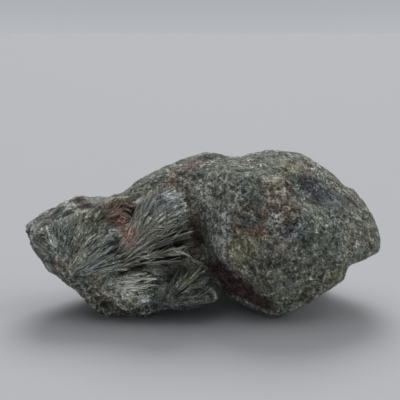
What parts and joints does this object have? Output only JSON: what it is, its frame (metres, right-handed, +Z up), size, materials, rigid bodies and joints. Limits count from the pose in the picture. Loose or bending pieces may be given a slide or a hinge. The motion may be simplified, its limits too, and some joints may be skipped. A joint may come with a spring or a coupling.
{
  "type": "raw seraphinite specimen",
  "caption": "Raw seraphinite: a two-lobed lump of grey-green chlorite rock, feathered with fans of silvery fibres on one lobe and grainy on the other, resting on worn flats.",
  "frame": {"origin": "on the surface it rests on, under the middle of its footprint box", "axes": "+X along its length, from the feathered lobe to the grainy one; +Z up; the best fans face -Y"},
  "size_m": [0.089, 0.0444, 0.0391],
  "materials": {
    "green_stone": "matte"
  },
  "bodies": {
    "root": {"seraphinite": "green_stone"}
  },
  "joints": []
}
